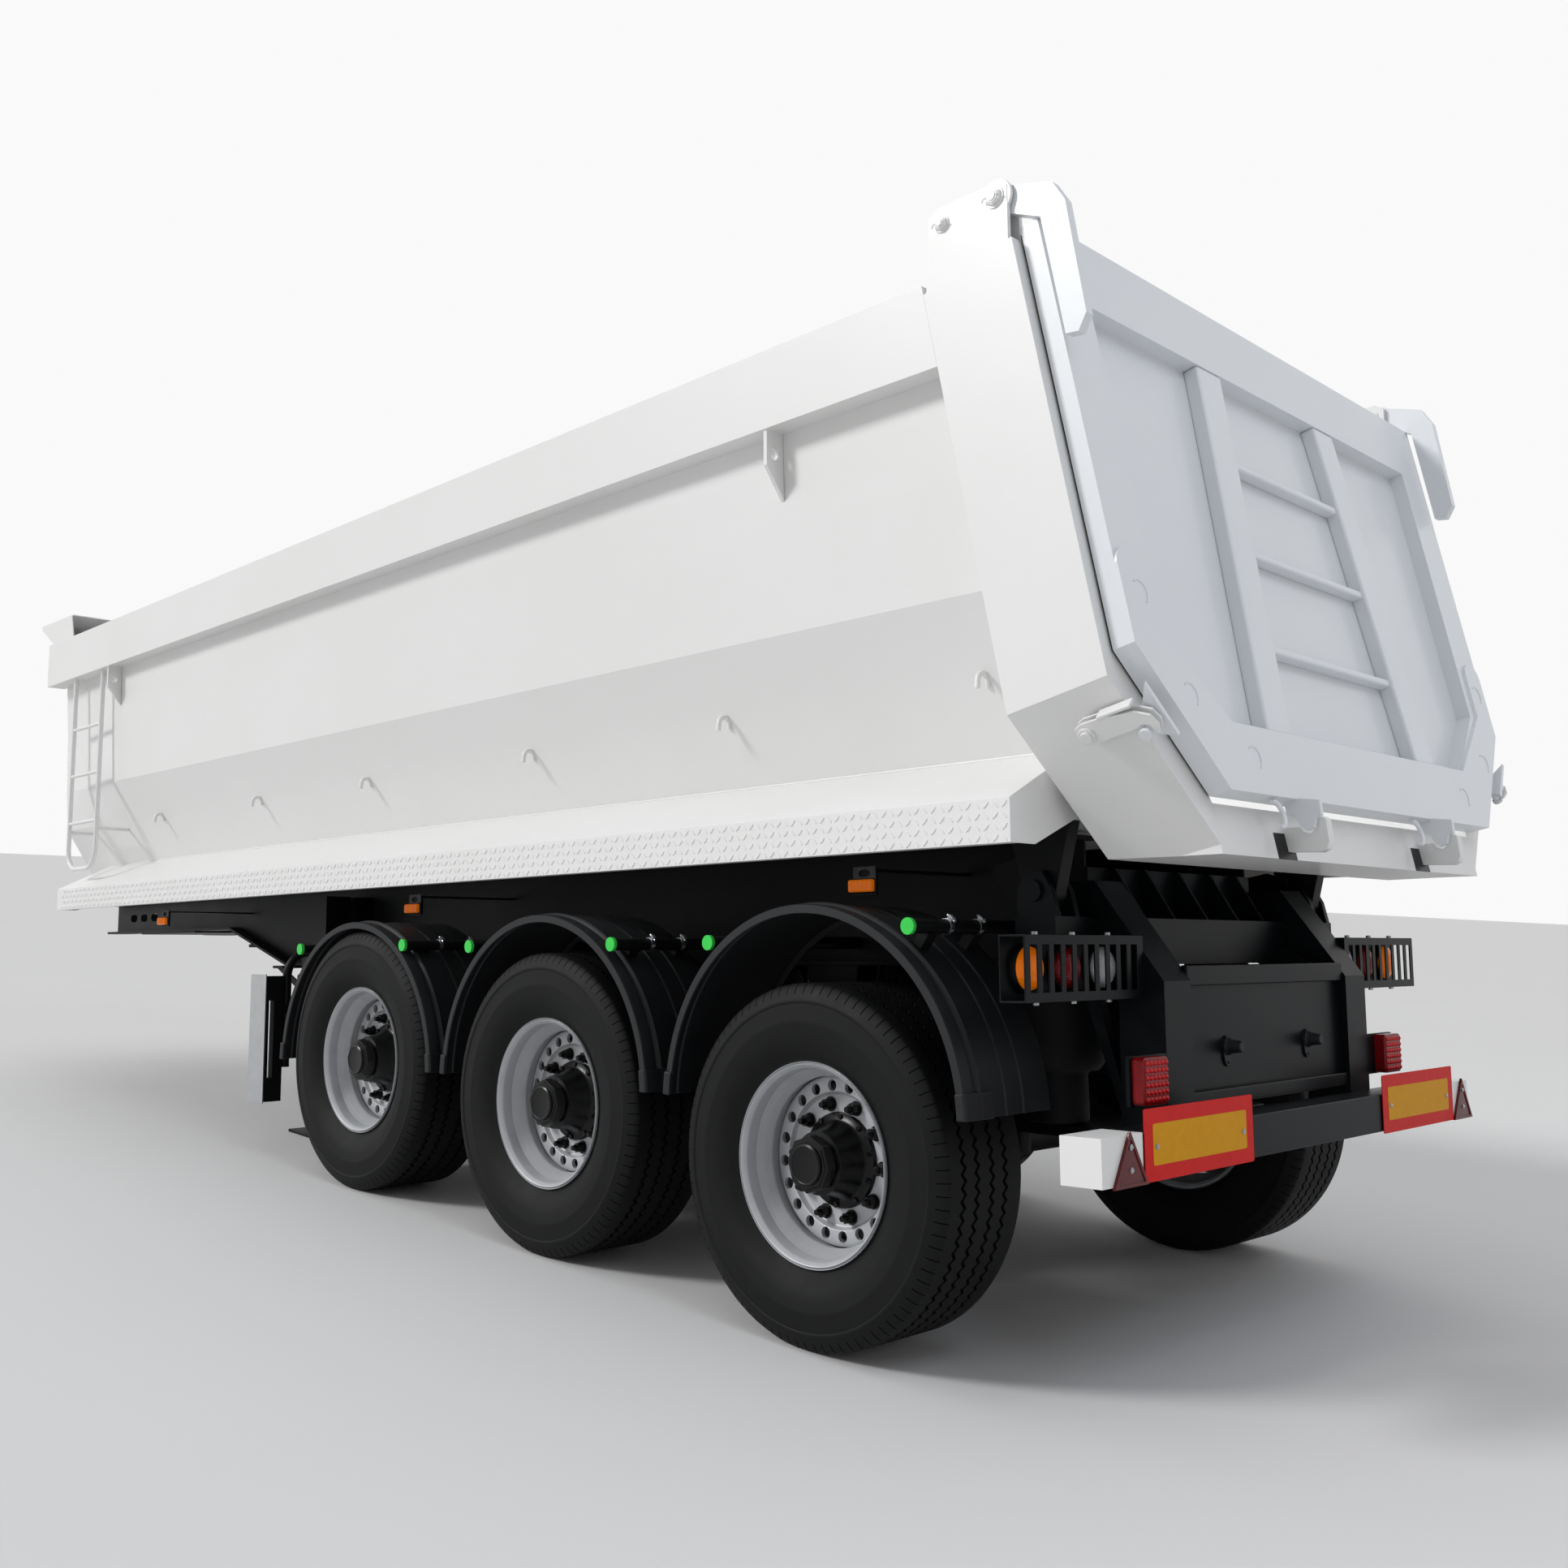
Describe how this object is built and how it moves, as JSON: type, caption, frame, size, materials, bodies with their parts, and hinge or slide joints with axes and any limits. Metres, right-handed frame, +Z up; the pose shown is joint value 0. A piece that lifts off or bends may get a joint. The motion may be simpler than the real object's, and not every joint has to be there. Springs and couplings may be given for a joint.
{
  "type": "tipper semi-trailer",
  "caption": "Half-pipe tipper semi-trailer with folded side walls, leaning top-hung tailgate, front hoist, air-sprung axles, round mudguards and landing legs.",
  "frame": {"origin": "on the ground under the middle of the bounding box", "axes": "+X forward to the kingpin, +Y to the left, +Z up"},
  "size_m": [8.2456, 2.504, 3.3044],
  "materials": {
    "white_paint": "gloss white paint",
    "chassis_paint": "satin charcoal paint",
    "slate_paint": "satin slate paint",
    "rubber": "matt black rubber",
    "forged_steel": "machined",
    "red_lens": "clear red",
    "amber_lens": "clear amber",
    "black_plastic": "moulded",
    "green_plastic": "moulded",
    "aluminium": "anodised",
    "chrome_rod": "hard chrome",
    "tyre": "black rubber",
    "wheel_silver": "silver lacquer"
  },
  "bodies": {
    "chassis": {"main_beams": "chassis_paint", "cross_members": "chassis_paint", "rest_pads": "rubber", "coupler_plate": "chassis_paint", "kingpin": "forged_steel", "rear_frame": "slate_paint", "bumper": "slate_paint", "square_lamps": "red_lens", "plate_lamps": "black_plastic", "lamp_boxes": "slate_paint", "round_lamps": "red_lens", "marker_lamps": "amber_lens", "marker_arms": "chassis_paint", "axles": "chassis_paint", "hangers": "chassis_paint", "trailing_arms": "chassis_paint", "air_springs": "rubber", "air_tanks": "chassis_paint", "mudguards": "black_plastic", "guard_tubes": "chassis_paint", "tube_caps": "green_plastic", "landing_legs": "chassis_paint", "side_guards": "aluminium", "side_guard_posts": "chassis_paint", "hoist_cradle": "chassis_paint", "landing_feet": "chassis_paint"},
    "tipping_body": {"body_floor": "white_paint", "body_left_wall": "white_paint", "body_right_wall": "white_paint", "body_front_wall": "white_paint", "body_portal": "white_paint", "top_rails": "white_paint", "skirts": "white_paint", "visor": "white_paint", "ladder": "white_paint", "rope_hooks": "white_paint", "gate_locks": "white_paint", "body_bearers": "chassis_paint"},
    "tailgate": {"gate_panel": "white_paint", "gate_ribs": "white_paint", "gate_arms": "white_paint"},
    "hoist_tube": {"hoist_tube": "chassis_paint"},
    "hoist_stage_1": {"hoist_stage_1": "chrome_rod"},
    "hoist_stage_2": {"hoist_stage_2": "chrome_rod"},
    "hoist_stage_3": {"hoist_stage_3": "chrome_rod"},
    "hoist_stage_4": {"hoist_stage_4": "chrome_rod"},
    "wheel_1_left": {"tyre_1_left": "tyre", "wheel_1_left": "wheel_silver"},
    "wheel_1_right": {"tyre_1_right": "tyre", "wheel_1_right": "wheel_silver"},
    "wheel_2_left": {"tyre_2_left": "tyre", "wheel_2_left": "wheel_silver"},
    "wheel_2_right": {"tyre_2_right": "tyre", "wheel_2_right": "wheel_silver"},
    "wheel_3_left": {"tyre_3_left": "tyre", "wheel_3_left": "wheel_silver"},
    "wheel_3_right": {"tyre_3_right": "tyre", "wheel_3_right": "wheel_silver"}
  },
  "joints": [
    {"name": "body_tip", "type": "hinge", "parent": "chassis", "child": "tipping_body", "pos_m": [-3.47033, 0, 1.36189], "axis": [0, -1, 0], "range_deg": [0, 45]},
    {"name": "tailgate_swing", "type": "hinge", "parent": "tipping_body", "child": "tailgate", "pos_m": [-3.53551, 0, 3.25976], "axis": [0, 1, 0], "range_deg": [0, 70]},
    {"name": "hoist_tilt", "type": "hinge", "parent": "chassis", "child": "hoist_tube", "pos_m": [3.69295, 0, 0.87094], "axis": [0, -1, 0], "range_deg": [0, 26.57]},
    {"name": "hoist_slide_1", "type": "slide", "parent": "hoist_tube", "child": "hoist_stage_1", "axis": [0.0481, 0, 0.9988], "range_m": [0, 1.34789]},
    {"name": "hoist_slide_2", "type": "slide", "parent": "hoist_stage_1", "child": "hoist_stage_2", "axis": [0.0481, 0, 0.9988], "range_m": [0, 1.34789]},
    {"name": "hoist_slide_3", "type": "slide", "parent": "hoist_stage_2", "child": "hoist_stage_3", "axis": [0.0481, 0, 0.9988], "range_m": [0, 1.34789]},
    {"name": "hoist_slide_4", "type": "slide", "parent": "hoist_stage_3", "child": "hoist_stage_4", "axis": [0.0481, 0, 0.9988], "range_m": [0, 1.34789]},
    {"name": "roll_1_left", "type": "hinge", "parent": "chassis", "child": "wheel_1_left", "pos_m": [-2.94794, 1.04, 0.53], "axis": [0, 1, 0], "continuous": true},
    {"name": "roll_1_right", "type": "hinge", "parent": "chassis", "child": "wheel_1_right", "pos_m": [-2.94794, -1.04, 0.53], "axis": [0, 1, 0], "continuous": true},
    {"name": "roll_2_left", "type": "hinge", "parent": "chassis", "child": "wheel_2_left", "pos_m": [-1.63794, 1.04, 0.53], "axis": [0, 1, 0], "continuous": true},
    {"name": "roll_2_right", "type": "hinge", "parent": "chassis", "child": "wheel_2_right", "pos_m": [-1.63794, -1.04, 0.53], "axis": [0, 1, 0], "continuous": true},
    {"name": "roll_3_left", "type": "hinge", "parent": "chassis", "child": "wheel_3_left", "pos_m": [-0.32794, 1.04, 0.53], "axis": [0, 1, 0], "continuous": true},
    {"name": "roll_3_right", "type": "hinge", "parent": "chassis", "child": "wheel_3_right", "pos_m": [-0.32794, -1.04, 0.53], "axis": [0, 1, 0], "continuous": true}
  ],
  "couplings": [
    {"joint": "hoist_tilt", "follows": "body_tip", "ratio": 0.59039},
    {"joint": "hoist_slide_1", "follows": "body_tip", "m_per_rad": 1.7161},
    {"joint": "hoist_slide_2", "follows": "body_tip", "m_per_rad": 1.7161},
    {"joint": "hoist_slide_3", "follows": "body_tip", "m_per_rad": 1.7161},
    {"joint": "hoist_slide_4", "follows": "body_tip", "m_per_rad": 1.7161}
  ]
}
